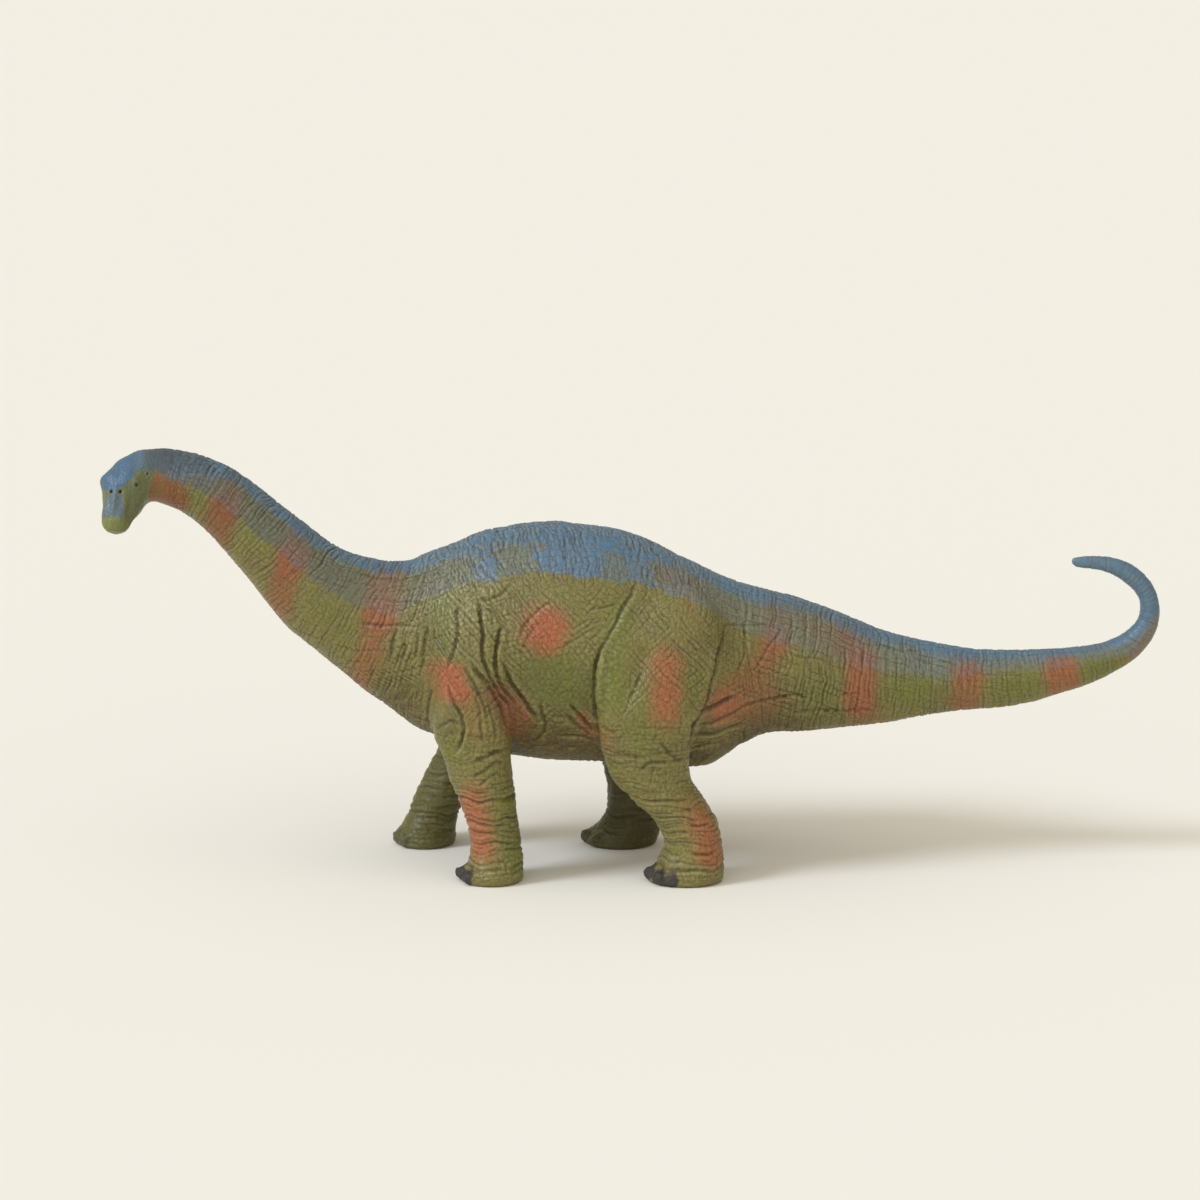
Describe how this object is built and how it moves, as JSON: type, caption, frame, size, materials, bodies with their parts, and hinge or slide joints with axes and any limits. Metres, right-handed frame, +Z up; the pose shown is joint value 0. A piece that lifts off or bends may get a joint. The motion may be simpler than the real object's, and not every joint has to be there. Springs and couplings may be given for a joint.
{
  "type": "toy dinosaur figure",
  "caption": "Long-necked, long-tailed toy dinosaur in painted moulded vinyl, standing in a walking pose with its head turned to the left.",
  "frame": {"origin": "on the ground under the middle of the figure's length and width", "axes": "+Z up, -X towards the head, +X towards the tail, -Y towards the animal's left side"},
  "size_m": [0.318, 0.065, 0.1277],
  "materials": {
    "trunk_vinyl": "soft vinyl, painted olive green with a blue back and terracotta patches, satin",
    "neck_vinyl": "soft vinyl, painted olive green with a blue top and terracotta bands, satin",
    "tail_vinyl": "soft vinyl, painted olive green with a blue top and terracotta bands, satin",
    "head_vinyl": "soft vinyl, painted blue on the forehead and green on the muzzle, satin",
    "leg_vinyl": "soft vinyl, painted olive green with terracotta patches and dark grey toenails, satin"
  },
  "bodies": {
    "root": {"torso_left": "trunk_vinyl", "torso_right": "trunk_vinyl", "neck": "neck_vinyl", "head": "head_vinyl", "tail_base": "tail_vinyl", "tail_tip": "tail_vinyl", "front_left_leg": "leg_vinyl", "front_right_leg": "leg_vinyl", "hind_left_leg": "leg_vinyl", "hind_right_leg": "leg_vinyl"}
  },
  "joints": []
}
